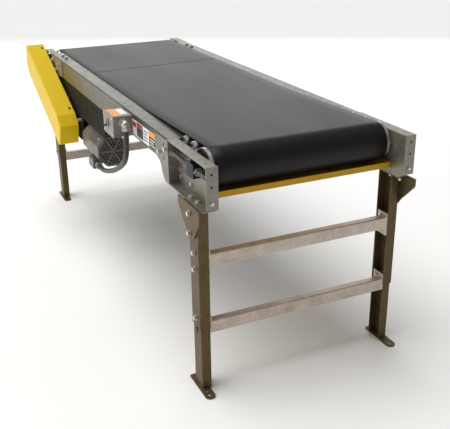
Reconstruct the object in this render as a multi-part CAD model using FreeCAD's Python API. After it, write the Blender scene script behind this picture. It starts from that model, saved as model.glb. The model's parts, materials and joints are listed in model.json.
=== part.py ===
"""Belt conveyor section with a slider bed, two stands and a shaft-mounted chain drive.

Millimetres. Origin on the floor, at the centre of the four front floor anchor holes.
+X runs along the belt towards the tail (take-up) end, +Z is up, and the drive is on the -Y side.
"""
import FreeCAD, Part
import math
import os

# ---- driving dimensions -------------------------------------------------------------------
BED_TOP = 830.0
HALF_WIDTH = 381.0
TAIL_END = 1046.0
DRIVE_END = -1144.0
STANDS = {"tail": 941.0, "drive": -1083.0}
SIDES = {"left": -1, "right": 1}

SHEET = 2.7
PLATE = 5.0
BEND = 4.0

BED_DEPTH = 89.0
BED_LIP = 19.0
TIES_X = (600.0, -190.0, -770.0)
FLANGE = 38.1
BRACKET_DEPTH = 156.0
TAIL_RECESS = 320.0
DRIVE_RECESS = 150.0
TAIL_TONGUE = 122.0
DRIVE_TONGUE = 220.0
END_FLANGE_DROP = 138.0
HEAD_BOLT_REACH = 62.0

BELT_WIDTH = 636.0
BELT_THICK = 3.2
PULLEY_R = 50.5
TAIL_PULLEY_R = 63.5
WRAP_GAP = 0.3
PULLEY_HALF_FACE = 330.0
SHAFT_R = 12.7
SHAFT_CLEAR = 0.05
TAIL_SHAFT_X = TAIL_END - 134.0
DRIVE_SHAFT_X = -1079.0
SHAFT_Z = BED_TOP - PULLEY_R - WRAP_GAP
TAIL_SHAFT_Z = BED_TOP - 47.0
LIFT_X = 150.0
LIFT_R = 9000.0
TAKE_UP_TRAVEL = 40.0
TAKE_UP_Y = -(HALF_WIDTH - 17.0)
TAKE_UP_ROD_R = 7.9
BLOCK_HALF = 30.0
BLOCK_BOSS_R = 27.0
NUT_T = 8.0
NUT_FLATS = 24.0
JAM_FLATS = 22.0
BEARING_FLANGE = 11.0

ROLLER_R = 23.9
ROLLER_HALF_FACE = 332.0
AXLE_FLATS = 11.0
AXLE_HALF = 347.0
TRANSITION_X = {"front": TAIL_END - 219.0, "rear": TAIL_END - 294.0}
SNUB_X = DRIVE_SHAFT_X + 70.0
SNUB_Z = BED_TOP - 115.0
RETURN_X = TAIL_END - 1066.0

LEG_X = 73.0
LEG_Y = 36.6
LEG_T = 3.0
LEG_FACE = 383.0
LEG_BOTTOM = 242.0
LEG_TOP = 669.0
FOOT_TOP = 392.0
FOOT_PLATE = 6.0
ANCHOR_X = 1012.0
ANCHOR_Y = 372.0
ANCHOR_R = 7.0
BRACE_Z = {"upper": 512.0, "lower": 266.0}
BRACE_HEIGHT = 44.0
BRACE_DEPTH = 27.5
LOCK_BOLT_Z = 272.0
BRACE_BOLT_Z = (453.0, 511.0)

GUARD_ANGLE = math.radians(21.3)
GUARD_FAR = -92.0
GUARD_NEAR = 632.0
GUARD_ABOVE = 50.0
GUARD_BELOW = -92.0
GUARD_OUT = 481.0
GUARD_BACK = 390.0
GUARD_T = 1.6

CHAIN_PITCH = 12.7
TEETH = 20
CENTRES = 42 * CHAIN_PITCH
CHAIN_Y = -435.0
SPROCKET_T = 7.2
OUTPUT_Z = 575.0
OUTPUT_X = DRIVE_SHAFT_X + math.sqrt(CENTRES ** 2 - (SHAFT_Z - OUTPUT_Z) ** 2)
WORM_DROP = 45.0
WORM_R = 15.0

MOTOR_Y = -321.0
MOTOR_Z = OUTPUT_Z - WORM_DROP
MOTOR_FLATS = 143.0
MOTOR_FACE = -149.0
COVER_LENGTH = 60.0
AIR_HOLE_R = 4.9
AIR_HOLE_PITCH = 13.0
MOTOR_LENGTH = 200.0
ROTOR_R = 38.0
MOTOR_SHAFT_R = 8.0
HOUSING_HALF = 50.0

BOX_X = (222.0, 345.0)
BOX_Y = (-450.0, -378.3)
BOX_Z = (742.0, 822.0)
CONDUIT_R = 10.5
CONDUIT_TOP = (382.0, -416.0, 776.0)
CONDUIT_END = (-176.0, -382.0, 459.0)
CONDUIT_ROUTE = [
    CONDUIT_TOP,
    (382.0, -416.0, 728.0),
    (366.0, -415.0, 680.0),
    (330.0, -412.0, 640.0),
    (268.0, -407.0, 604.0),
    (172.0, -400.0, 559.0),
    (72.0, -393.0, 518.0),
    (-28.0, -388.0, 485.0),
    (-92.0, -384.0, 467.0),
    (-136.0, -382.0, 459.0),
    CONDUIT_END,
]

BED_FRONT = TAIL_END - TAIL_RECESS
BED_REAR = DRIVE_END + DRIVE_RECESS
WEB = HALF_WIDTH - FLANGE
BED_HALF = HALF_WIDTH - SHEET


# ---- shape helpers ------------------------------------------------------------------------
def at(plane, a, b, offset):
    """Point (a, b) of a plane named XZ, YZ or XY, at a distance along the third axis."""
    if plane == "XZ":
        return FreeCAD.Vector(a, offset, b)
    if plane == "YZ":
        return FreeCAD.Vector(offset, a, b)
    return FreeCAD.Vector(a, b, offset)


def along(plane, distance):
    """Vector of that length along the axis the plane leaves out."""
    return at(plane, 0, 0, distance)


def outline(points, plane, offset):
    """Closed wire through (a, b) or (a, b, corner radius) points, with round corners as arcs."""
    count = len(points)
    corners = []
    for i in range(count):
        here = at(plane, points[i][0], points[i][1], offset)
        before = at(plane, points[i - 1][0], points[i - 1][1], offset)
        after = at(plane, points[(i + 1) % count][0], points[(i + 1) % count][1], offset)
        radius = points[i][2] if len(points[i]) > 2 else 0
        if radius == 0:
            corners.append((here, here, None))
            continue
        inward = (before - here).normalize()
        onward = (after - here).normalize()
        half = inward.getAngle(onward) / 2
        back = radius / math.tan(half)
        centre_way = (inward + onward).normalize()
        middle = here + centre_way * (radius / math.sin(half) - radius)
        corners.append((here + inward * back, here + onward * back, middle))
    edges = []
    for i in range(count):
        start, end, middle = corners[i]
        if middle is not None:
            edges.append(Part.Arc(start, middle, end).toShape())
        following = corners[(i + 1) % count][0]
        if end.distanceToPoint(following) > 1e-6:
            edges.append(Part.LineSegment(end, following).toShape())
    return Part.Wire(edges)


def prism(points, plane, low, high):
    """Solid of that outline between two offsets along the plane's own axis."""
    return Part.Face(outline(points, plane, low)).extrude(along(plane, high - low))


def box(x, y, z):
    """Box from three (low, high) pairs."""
    corner = FreeCAD.Vector(min(x), min(y), min(z))
    return Part.makeBox(abs(x[1] - x[0]), abs(y[1] - y[0]), abs(z[1] - z[0]), corner)


def rod(axis, radius, start, length, across):
    """Cylinder along X, Y or Z from start; across holds the two other coordinates in order."""
    places = {
        "X": (FreeCAD.Vector(start, across[0], across[1]), FreeCAD.Vector(1, 0, 0)),
        "Y": (FreeCAD.Vector(across[0], start, across[1]), FreeCAD.Vector(0, 1, 0)),
        "Z": (FreeCAD.Vector(across[0], across[1], start), FreeCAD.Vector(0, 0, 1)),
    }
    base, way = places[axis]
    return Part.makeCylinder(radius, length, base, way)


def slot(axis, radius, low, high, across, start, length):
    """Round-ended slot along X between two centres, cut along Y or Z."""
    ends = [rod(axis, radius, start, length, (x, across)) for x in (low, high)]
    if axis == "Y":
        middle = box((low, high), (start, start + length), (across - radius, across + radius))
    else:
        middle = box((low, high), (across - radius, across + radius), (start, start + length))
    return middle.fuse(ends)


def ring(axis, outer, inner, start, length, across):
    return rod(axis, outer, start, length, across).cut(rod(axis, inner, start, length, across))


def hexagon(axis, flats, start, length, across):
    """Hexagonal bar with two flats level."""
    radius = flats / math.sqrt(3)
    turn = [math.radians(60 * k) for k in range(6)]
    points = [(across[0] + radius * math.cos(t), across[1] + radius * math.sin(t)) for t in turn]
    plane = {"X": "YZ", "Y": "XZ", "Z": "XY"}[axis]
    return prism(points, plane, start, start + length)


def mirrored(shape):
    return shape.mirror(FreeCAD.Vector(0, 0, 0), FreeCAD.Vector(0, 1, 0))


def on_side(shape, side):
    """Shape as drawn on the left (-Y) side, or its mirror image on the right."""
    return shape if side == "left" else mirrored(shape)


def bolt(axis, size, start, length, across, head_at_start=True):
    """Hex bolt with a washer under its head; start to start + length is the grip and tail."""
    flats = size * 1.6
    head = size * 0.65
    washer = size * 0.2
    shank = rod(axis, size / 2, start, length, across)
    if head_at_start:
        cap = hexagon(axis, flats, start - washer - head, head, across)
        disc = rod(axis, size * 1.05, start - washer, washer, across)
        crown = rod(axis, flats * 0.6, start - washer - head, head + washer, across)
    else:
        cap = hexagon(axis, flats, start + length + washer, head, across)
        disc = rod(axis, size * 1.05, start + length, washer, across)
        crown = rod(axis, flats * 0.6, start + length, head + washer, across)
    cap = cap.common(crown.makeChamfer(flats * 0.09, crown.Edges))
    return shank.fuse([disc, cap]).removeSplitter()


def tidy(shape):
    """One clean solid, or the compound itself when it holds several."""
    return shape.removeSplitter()


# ---- bed ----------------------------------------------------------------------------------
def slider_bed():
    """Inverted formed pan: flat top, two sides and inward bottom lips."""
    low = BED_TOP - BED_DEPTH
    inner = BED_HALF - SHEET
    lip = BED_HALF - BED_LIP
    half = [
        (BED_HALF, BED_TOP, BEND),
        (BED_HALF, low, BEND),
        (lip, low),
        (lip, low + SHEET),
        (inner, low + SHEET, BEND - SHEET),
        (inner, BED_TOP - SHEET, BEND - SHEET),
    ]
    other = [(-p[0],) + p[1:] for p in reversed(half)]
    pan = prism(half + other, "YZ", BED_REAR, BED_FRONT)
    for x in drive_bolts_x():
        pan = pan.cut(rod("Z", 5.1, BED_TOP - 10, 20, (x, -WEB)))
        pan = pan.cut(rod("Z", 5.1, BED_TOP - 10, 20, (x, WEB)))
    notch_y = (-inner, -lip + 1)
    notch = box((-945, -56), notch_y, (low - 1, low + SHEET + 2))
    for x, z in tongue_bolts("tail") + tongue_bolts("drive"):
        hole = rod("Y", 5.1, -BED_HALF - 1, 2 * BED_HALF + 2, (x, z))
        pan = pan.cut(hole)
    return tidy(pan.cut(notch))


def bed_ties():
    """Three channels across the underside of the pan."""
    inner = BED_HALF - SHEET - 0.5
    top = BED_TOP - SHEET
    ties = []
    for x in TIES_X:
        section = [
            (x - 30, top, BEND),
            (x + 30, top, BEND),
            (x + 30, top - 36),
            (x + 30 - SHEET, top - 36),
            (x + 30 - SHEET, top - SHEET, BEND - SHEET),
            (x - 30 + SHEET, top - SHEET, BEND - SHEET),
            (x - 30 + SHEET, top - 36),
            (x - 30, top - 36),
        ]
        ties.append(prism(section, "XZ", -inner, inner))
    return Part.makeCompound(ties)


# ---- end brackets -------------------------------------------------------------------------
def end_x(end, inward):
    """X at a distance inward from the bracket's end face."""
    return TAIL_END - inward if end == "tail" else DRIVE_END + inward


def recess(end):
    return TAIL_RECESS if end == "tail" else DRIVE_RECESS


def tongue_bolts(end):
    """(x, z) of the bolts through the tongue and the side of the bed."""
    spots = [(18, -38), (80, -62)] if end == "tail" else [(30, -24), (88, -66), (150, -30)]
    return [(end_x(end, recess(end) + a), BED_TOP + z) for a, z in spots]


def tongue_holes(end):
    spots = [(38, -27), (40, -74)] if end == "tail" else [(60, -74)]
    return [(end_x(end, recess(end) + a), BED_TOP + z) for a, z in spots]


def drive_bolts_x():
    """Bolts through the bed top near the drive end."""
    return (BED_REAR + 97, BED_REAR + 167)


def bracket(end, side):
    """Die-formed end bracket drawn left hand: a recessed web with flanges, stepping out to a tongue."""
    deep = recess(end)
    tongue = TAIL_TONGUE if end == "tail" else DRIVE_TONGUE
    x0 = end_x(end, 0)
    x1 = end_x(end, deep)
    low = BED_TOP - BRACKET_DEPTH
    skin = WEB - SHEET
    section = [
        (-HALF_WIDTH, BED_TOP),
        (-skin, BED_TOP, BEND),
        (-skin, low, BEND),
        (-HALF_WIDTH, low),
        (-HALF_WIDTH, low + SHEET),
        (-WEB, low + SHEET, BEND - SHEET),
        (-WEB, BED_TOP - SHEET, BEND - SHEET),
        (-HALF_WIDTH, BED_TOP - SHEET),
    ]
    body = prism(section, "YZ", min(x0, x1), max(x0, x1))
    clear = box((x0, end_x(end, 31)), (-HALF_WIDTH - 1, -WEB), (low - 1, low + 8))
    body = body.cut(clear)
    face = [
        (-HALF_WIDTH, BED_TOP),
        (-skin, BED_TOP),
        (-skin, BED_TOP - END_FLANGE_DROP, 14),
        (-HALF_WIDTH, BED_TOP - END_FLANGE_DROP, 3),
    ]
    flange = prism(face, "YZ", min(x0, end_x(end, SHEET)), max(x0, end_x(end, SHEET)))
    corner = [
        (end_x(end, -1), low - 1),
        (end_x(end, 32), low - 1),
        (end_x(end, 18), low + 8, 12),
        (end_x(end, -1), BED_TOP - END_FLANGE_DROP),
    ]
    body = body.cut(prism(corner, "XZ", -WEB - 1, -skin + 1))
    step = box((x1, end_x(end, deep - SHEET)), (-HALF_WIDTH, -skin), (low, BED_TOP - SHEET))
    foot = min(1.0, tongue / 160)
    lower = [
        (end_x(end, deep - SHEET), BED_TOP - 5),
        (end_x(end, deep - SHEET), low, 3),
        (end_x(end, deep + 34), low, 18),
        (end_x(end, deep + 62), BED_TOP - 128, 30),
        (end_x(end, deep + 90 * foot), BED_TOP - 98, 40),
        (end_x(end, deep + tongue), BED_TOP - BED_DEPTH + 8, 12),
        (end_x(end, deep + tongue), BED_TOP - 5, 6),
    ]
    leaf = prism(lower, "XZ", -HALF_WIDTH, -HALF_WIDTH + SHEET)
    body = body.fuse([flange, step, leaf])
    middle = -(HALF_WIDTH + WEB) / 2
    for z in (-24, -64, -117):
        body = body.cut(rod("X", 4.5, min(x0, end_x(end, 9)), 9, (middle, BED_TOP + z)))
    spots = range(6) if end == "tail" else range(3)
    for k in spots:
        body = body.cut(rod("Z", 3.5, BED_TOP - 10, 20, (end_x(end, 38 + 46 * k), middle)))
    for x, z in tongue_bolts(end) + tongue_holes(end):
        body = body.cut(rod("Y", 5.1, -HALF_WIDTH - 1, 10, (x, z)))
    for x, z in roller_axle_holes(end):
        body = body.cut(rod("Y", 6.5, -WEB - 1, 10, (x, z)))
    for x, z in web_bolts(end):
        body = body.cut(rod("Y", 4.1, -WEB - 1, 10, (x, z)))
    for x in head_bolt_x(end, side):
        body = body.cut(rod("Z", 5.1, low - 5, 15, (x, middle)))
    if end == "tail":
        out = TAIL_SHAFT_X + TAKE_UP_TRAVEL
        body = body.cut(slot("Y", 16, TAIL_SHAFT_X, out, TAIL_SHAFT_Z, -WEB - 1, 10))
        body = body.cut(rod("X", TAKE_UP_ROD_R + 0.15, x1 - 5, 15, (TAKE_UP_Y, TAIL_SHAFT_Z)))
    else:
        body = body.cut(rod("Y", 17, -WEB - 1, 10, (DRIVE_SHAFT_X, SHAFT_Z)))
        for x in bearing_bolt_x():
            body = body.cut(rod("Y", 5.1, -WEB - 1, 10, (x, SHAFT_Z)))
    return tidy(body)


def roller_axle_holes(end):
    """(x, z) of the hexagonal axles held in the webs of that end."""
    if end == "drive":
        return [(SNUB_X, SNUB_Z)]
    return [(x, transition_roller_z(x)) for x in TRANSITION_X.values()]


def web_bolts(end):
    """(x, z) of the small bolts that hold the underside guard to the web."""
    if end == "drive":
        return []
    return [(TAIL_END - 205, BED_TOP - 124), (TAIL_END - 292, BED_TOP - 124), (TAIL_END - 297, BED_TOP - 99)]


def head_way(end, side):
    """Direction along X in which that leg head points; the right tail head is turned outward."""
    if end == "drive":
        return 1
    return SIDES[side]


def head_bolt_x(end, side):
    """Bolts down through the bottom flange into the leg head."""
    centre = STANDS[end]
    way = head_way(end, side)
    return (centre + way * 8, centre + way * HEAD_BOLT_REACH)


def bearing_bolt_x():
    return (DRIVE_SHAFT_X - 45, DRIVE_SHAFT_X + 45)


# ---- stands -------------------------------------------------------------------------------
def channel(centre, width, depth, face, low, high):
    """Upright channel, left hand, with its web outward and its flanges pointing inward."""
    tip = face - depth
    x0 = centre - width / 2
    x1 = centre + width / 2
    section = [
        (x0, -face, 5),
        (x1, -face, 5),
        (x1, -tip),
        (x1 - LEG_T, -tip),
        (x1 - LEG_T, -face + LEG_T, 2),
        (x0 + LEG_T, -face + LEG_T, 2),
        (x0 + LEG_T, -tip),
        (x0, -tip),
    ]
    return prism(section, "XY", low, high)


def leg(end, side):
    """Upper leg channel, with its bolt holes."""
    centre = STANDS[end]
    body = channel(centre, LEG_X, LEG_Y, LEG_FACE, LEG_BOTTOM, LEG_TOP)
    for z in BRACE_BOLT_Z + (LOCK_BOLT_Z,):
        body = body.cut(rod("Y", 5.2, -LEG_FACE - 1, 10, (centre, z)))
    for x, z in head_side_bolts(end, side):
        body = body.cut(rod("Y", 5.2, -LEG_FACE - 1, 10, (x, z)))
    return tidy(body)


def head_side_bolts(end, side):
    """(x, z) of the two bolts through the leg head and the leg."""
    centre = STANDS[end]
    way = head_way(end, side)
    return [(centre + way * 20, 642.0), (centre + way * 22, 573.0)]


def leg_head(end, side):
    """Wedge-shaped head plate on the leg's outer face, with a tab under the bracket."""
    centre = STANDS[end]
    way = head_way(end, side)
    top = BED_TOP - BRACKET_DEPTH
    points = [
        (centre - way * 61, top),
        (centre - way * 61, 632, 18),
        (centre - way * 13, 566, 10),
        (centre + way * 28, 552, 9),
        (centre + way * 47, 578, 40),
        (centre + way * 84, 614, 40),
        (centre + way * 116, 646, 14),
        (centre + way * 116, top),
    ]
    plate = prism(points, "XZ", -LEG_FACE - PLATE, -LEG_FACE)
    tab = box((centre - way * 25, centre + way * 73), (-LEG_FACE - 0.01, -346), (LEG_TOP, top))
    body = plate.fuse(tab)
    for x in head_bolt_x(end, side):
        body = body.cut(rod("Z", 5.1, LEG_TOP - 5, 15, (x, -(HALF_WIDTH + WEB) / 2)))
    (x0, z0), (x1, z1) = head_side_bolts(end, side)
    body = body.cut(slot("Y", 5.6, x0 - 9, x0 + 9, z0, -LEG_FACE - PLATE - 1, PLATE + 2))
    body = body.cut(rod("Y", 5.2, -LEG_FACE - PLATE - 1, PLATE + 2, (x1, z1)))
    return tidy(body)


def brace(end, level):
    """Angle between the two legs, with an end plate at each leg."""
    centre = STANDS[end]
    fold = BRACE_Z[level]
    front = centre + LEG_X / 2 - LEG_T
    reach = LEG_FACE - LEG_Y - PLATE
    angle = prism(
        [
            (front, fold, BEND),
            (front, fold - BRACE_HEIGHT),
            (front - LEG_T, fold - BRACE_HEIGHT),
            (front - LEG_T, fold - LEG_T, 1),
            (front - BRACE_DEPTH, fold - LEG_T),
            (front - BRACE_DEPTH, fold),
        ],
        "XZ",
        -reach,
        reach,
    )
    spots = BRACE_BOLT_Z if level == "upper" else (LOCK_BOLT_Z,)
    low = min(min(spots) - 13, fold - BRACE_HEIGHT)
    high = max(spots) + 13
    ends = []
    for side in SIDES:
        plate = box((centre - 20, front), (-reach - PLATE, -reach), (low, high))
        for z in spots:
            plate = plate.cut(rod("Y", 5.2, -reach - PLATE - 1, PLATE + 2, (centre, z)))
        ends.append(on_side(plate, side))
    return tidy(angle.fuse(ends))


def foot(end):
    """Telescoping foot: a channel nested in the leg, on a base plate with a rounded front tip."""
    centre = STANDS[end]
    inset = LEG_T + 0.3
    body = channel(
        centre, LEG_X - 2 * inset, LEG_Y - inset, LEG_FACE - inset, FOOT_PLATE - 0.01, FOOT_TOP
    )
    base = prism(
        [
            (centre - 65, -388, 6),
            (centre + 92, -388, 17),
            (centre + 92, -352, 17),
            (centre - 65, -352, 6),
        ],
        "XY",
        0,
        FOOT_PLATE,
    )
    body = body.fuse(base)
    anchor = centre + ANCHOR_X - STANDS["tail"]
    body = body.cut(rod("Z", ANCHOR_R, -1, FOOT_PLATE + 2, (anchor, -ANCHOR_Y)))
    body = body.cut(rod("Z", 5.5, -1, FOOT_PLATE + 2, (centre + 49, -ANCHOR_Y)))
    body = body.cut(rod("Z", 5.5, -1, FOOT_PLATE + 2, (centre - 52, -ANCHOR_Y)))
    window = box((centre - 6, centre + 6), (-LEG_FACE, -LEG_FACE + 10), (220, 378))
    ends = [rod("Y", 6, -LEG_FACE, 10, (centre, z)) for z in (220, 378)]
    return tidy(body.cut(window.fuse(ends)))


def stand_bolts():
    """Bolts of both stands: leg heads, braces and the lock bolts of the feet."""
    solids = []
    reach = LEG_Y + 12
    flange_y = -(HALF_WIDTH + WEB) / 2
    for end in STANDS:
        for side in SIDES:
            drawn = []
            for z in BRACE_BOLT_Z + (LOCK_BOLT_Z,):
                drawn.append(bolt("Y", 10, -LEG_FACE, reach, (STANDS[end], z)))
            for x, z in head_side_bolts(end, side):
                drawn.append(bolt("Y", 10, -LEG_FACE - PLATE, 18, (x, z)))
            for x in head_bolt_x(end, side):
                low = LEG_TOP - 12
                high = BED_TOP - BRACKET_DEPTH + SHEET
                drawn.append(bolt("Z", 10, low, high - low, (x, flange_y), head_at_start=False))
            solids += [on_side(b, side) for b in drawn]
    return Part.makeCompound(solids)


def bracket_bolts():
    """Bolts of the four end brackets, and the rods' jam nuts, turned with a flat to the bed's side."""
    left = []
    for end in STANDS:
        for x, z in tongue_bolts(end):
            left.append(bolt("Y", 10, -HALF_WIDTH, 16, (x, z)))
        for x, z in web_bolts(end):
            left.append(bolt("Y", 8, -WEB, 14, (x, z)))
        face = end_x(end, 0)
        spot = (-(HALF_WIDTH + WEB) / 2, BED_TOP - 117)
        if end == "tail":
            left.append(bolt("X", 6, face - 14, 14, spot, head_at_start=False))
        else:
            left.append(bolt("X", 6, face, 14, spot))
    for x in drive_bolts_x():
        left.append(bolt("Z", 10, BED_TOP - 16, 16, (x, -WEB), head_at_start=False))
    for x in bearing_bolt_x():
        left.append(bolt("Y", 10, -WEB - BEARING_FLANGE, 19, (x, SHAFT_Z)))
    centre = FreeCAD.Vector(0, TAKE_UP_Y, TAIL_SHAFT_Z)
    for start in (BED_FRONT + SHEET, BED_FRONT - NUT_T):
        nut = hexagon("X", JAM_FLATS, start, NUT_T, (TAKE_UP_Y, TAIL_SHAFT_Z))
        nut.rotate(centre, FreeCAD.Vector(1, 0, 0), 90)
        left.append(nut.cut(rod("X", TAKE_UP_ROD_R, start - 1, NUT_T + 2, (TAKE_UP_Y, TAIL_SHAFT_Z))))
    return Part.makeCompound(left + [mirrored(b) for b in left])


# ---- belt, pulleys and rollers ------------------------------------------------------------
def run_angle(one, two):
    """Direction of the run from one circle to the next; each is (x, z, signed radius)."""
    dx = two[0] - one[0]
    dz = two[1] - one[1]
    return math.atan2(dz, dx) - math.asin((two[2] - one[2]) / math.hypot(dx, dz))


def touch(circle, angle):
    """Point where a run with that direction leaves or meets the circle."""
    x = circle[0] + circle[2] * math.sin(angle)
    z = circle[1] - circle[2] * math.cos(angle)
    return x, z


def belt_circles(extra):
    """Circles the belt wraps, in order, as (x, z, signed radius); negative where it bends back."""
    snub = ROLLER_R + WRAP_GAP + BELT_THICK
    return [
        (TAIL_SHAFT_X, TAIL_SHAFT_Z, TAIL_PULLEY_R + WRAP_GAP + extra),
        (LIFT_X, BED_TOP + LIFT_R, extra - LIFT_R),
        (DRIVE_SHAFT_X, SHAFT_Z, PULLEY_R + WRAP_GAP + extra),
        (SNUB_X, SNUB_Z, extra - snub),
    ]


def loop(extra, width):
    """Solid inside the belt's loop, grown by a thickness."""
    circles = belt_circles(extra)
    y = -width / 2
    edges = []
    for i, circle in enumerate(circles):
        ahead = circles[(i + 1) % len(circles)]
        coming = run_angle(circles[i - 1], circle)
        going = run_angle(circle, ahead)
        turn = (going - coming) % (2 * math.pi)
        if circle[2] < 0:
            turn -= 2 * math.pi
        spots = [touch(circle, coming + turn * part) for part in (0, 0.5, 1)]
        edges.append(Part.Arc(*[FreeCAD.Vector(x, y, z) for x, z in spots]).toShape())
        following = touch(ahead, going)
        start = FreeCAD.Vector(spots[2][0], y, spots[2][1])
        end = FreeCAD.Vector(following[0], y, following[1])
        edges.append(Part.LineSegment(start, end).toShape())
    return Part.Face(Part.Wire(edges)).extrude(FreeCAD.Vector(0, width, 0))


def belt():
    inside = loop(0, BELT_WIDTH + 2)
    return loop(BELT_THICK, BELT_WIDTH).cut(inside)


def pulley(x, z, radius):
    """Welded drum: shell and two end discs with hubs."""
    face = PULLEY_HALF_FACE
    inside = radius - 4
    shell = ring("Y", radius, inside, -face, 2 * face, (x, z))
    parts = []
    for side in SIDES.values():
        disc = ring("Y", inside, SHAFT_R, min(side * (face - 6), side * (face - 16)), 10, (x, z))
        hub = ring("Y", 24, SHAFT_R, min(side * (face + 4), side * (face - 6)), 10, (x, z))
        parts += [disc, hub]
    return tidy(shell.fuse(parts))


def conveyor_roller(x, z):
    """Light tube roller with dished end caps and a bearing bore."""
    face = ROLLER_HALF_FACE
    bore = AXLE_FLATS / math.sqrt(3) + 0.07
    tube = ring("Y", ROLLER_R, ROLLER_R - 1.6, -face, 2 * face, (x, z))
    caps = []
    for side in SIDES.values():
        caps.append(ring("Y", ROLLER_R - 1.6, bore, min(side * face, side * (face - 12)), 12, (x, z)))
    return tidy(tube.fuse(caps))


def transition_roller_z(x):
    """Height of a roller just under the belt where it rises to the tail pulley."""
    tail, lift = belt_circles(0)[:2]
    angle = run_angle(tail, lift)
    start = touch(tail, angle)
    line = start[1] + (x - start[0]) * math.tan(angle)
    return line + (ROLLER_R + WRAP_GAP) / math.cos(angle)


def return_roller_z():
    """Height of the return roller, just under the sloping return run."""
    circles = belt_circles(BELT_THICK)
    angle = run_angle(circles[3], circles[0])
    start = touch(circles[3], angle)
    line = start[1] + (RETURN_X - start[0]) * math.tan(angle)
    return line - (ROLLER_R + WRAP_GAP) / math.cos(angle)


def roller_axles():
    """Four fixed hexagonal axles."""
    spots = roller_axle_holes("tail") + roller_axle_holes("drive") + [(RETURN_X, return_roller_z())]
    return Part.makeCompound([hexagon("Y", AXLE_FLATS, -AXLE_HALF, 2 * AXLE_HALF, s) for s in spots])


def roller_hangers():
    """Two angle hangers that carry the return roller under the bed."""
    low = BED_TOP - BED_DEPTH
    centre = return_roller_z()
    section = [
        (-BED_HALF + 4, low),
        (-WEB + SHEET, low, BEND),
        (-WEB + SHEET, centre - 18),
        (-WEB, centre - 18),
        (-WEB, low - SHEET, BEND - SHEET),
        (-BED_HALF + 4, low - SHEET),
    ]
    hanger = prism(section, "YZ", RETURN_X - 22, RETURN_X + 22)
    hanger = hanger.cut(rod("Y", 6.5, -WEB - 1, 6, (RETURN_X, centre)))
    return Part.makeCompound([hanger, mirrored(hanger)])


def tail_shaft():
    half = -TAKE_UP_Y - TAKE_UP_ROD_R - 3
    return rod("Y", SHAFT_R, -half, 2 * half, (TAIL_SHAFT_X, TAIL_SHAFT_Z))


def drive_shaft():
    """Drive pulley shaft, longer on the left where it carries the sprocket."""
    left = CHAIN_Y - 22
    return rod("Y", SHAFT_R, left, WEB + 33 - left, (DRIVE_SHAFT_X, SHAFT_Z))



def take_up_block():
    """Sliding bearing block, left hand, with a blind shaft bore and a hole for the rod."""
    inner = -WEB - 1.6
    outer = -HALF_WIDTH + 3
    body = prism(
        [
            (TAIL_SHAFT_X - BLOCK_HALF, TAIL_SHAFT_Z - 24, 8),
            (TAIL_SHAFT_X + BLOCK_HALF, TAIL_SHAFT_Z - 24, 8),
            (TAIL_SHAFT_X + BLOCK_HALF, TAIL_SHAFT_Z + 24, 8),
            (TAIL_SHAFT_X - BLOCK_HALF, TAIL_SHAFT_Z + 24, 8),
        ],
        "XZ",
        outer,
        inner,
    )
    boss = rod("Y", BLOCK_BOSS_R, outer, inner - outer, (TAIL_SHAFT_X, TAIL_SHAFT_Z))
    body = body.fuse(boss)
    blind = TAKE_UP_Y + TAKE_UP_ROD_R + 2
    body = body.cut(rod("Y", SHAFT_R + SHAFT_CLEAR, blind, inner - blind + 1, (TAIL_SHAFT_X, TAIL_SHAFT_Z)))
    start = TAIL_SHAFT_X - BLOCK_HALF - 1
    hole = rod("X", TAKE_UP_ROD_R + 0.3, start, 2 * BLOCK_HALF + 2, (TAKE_UP_Y, TAIL_SHAFT_Z))
    return tidy(body.cut(hole))


def take_up_rods():
    """Threaded rods fixed in the step walls of the tail brackets."""
    start = BED_FRONT - 12
    end = TAIL_END - 34
    left = rod("X", TAKE_UP_ROD_R, start, end - start, (TAKE_UP_Y, TAIL_SHAFT_Z))
    return Part.makeCompound([left, mirrored(left)])


def take_up_nuts():
    """Adjusting nuts on both sides of each block."""
    left = []
    for start in (TAIL_SHAFT_X - BLOCK_HALF - NUT_T, TAIL_SHAFT_X + BLOCK_HALF):
        nut = hexagon("X", NUT_FLATS, start, NUT_T, (TAKE_UP_Y, TAIL_SHAFT_Z))
        left.append(nut.cut(rod("X", TAKE_UP_ROD_R + 0.3, start - 1, NUT_T + 2, (TAKE_UP_Y, TAIL_SHAFT_Z))))
    return Part.makeCompound(left + [mirrored(n) for n in left])



def drive_bearing():
    """Two-bolt flange bearing on the outer face of the drive bracket's web, left hand."""
    y0 = -WEB - BEARING_FLANGE
    ears = prism(
        [
            (DRIVE_SHAFT_X - 62, SHAFT_Z - 10, 9),
            (DRIVE_SHAFT_X - 20, SHAFT_Z - 30, 20),
            (DRIVE_SHAFT_X + 20, SHAFT_Z - 30, 20),
            (DRIVE_SHAFT_X + 62, SHAFT_Z - 10, 9),
            (DRIVE_SHAFT_X + 62, SHAFT_Z + 10, 9),
            (DRIVE_SHAFT_X + 20, SHAFT_Z + 30, 20),
            (DRIVE_SHAFT_X - 20, SHAFT_Z + 30, 20),
            (DRIVE_SHAFT_X - 62, SHAFT_Z + 10, 9),
        ],
        "XZ",
        y0,
        -WEB,
    )
    boss = rod("Y", 27, -WEB - 26, 26, (DRIVE_SHAFT_X, SHAFT_Z))
    collar = rod("Y", 20, -WEB - 32, 32, (DRIVE_SHAFT_X, SHAFT_Z))
    body = ears.fuse([boss, collar])
    body = body.cut(rod("Y", SHAFT_R + SHAFT_CLEAR, -WEB - 40, 60, (DRIVE_SHAFT_X, SHAFT_Z)))
    for x in bearing_bolt_x():
        body = body.cut(rod("Y", 5.1, y0 - 1, BEARING_FLANGE + 2, (x, SHAFT_Z)))
    return tidy(body)


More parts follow.
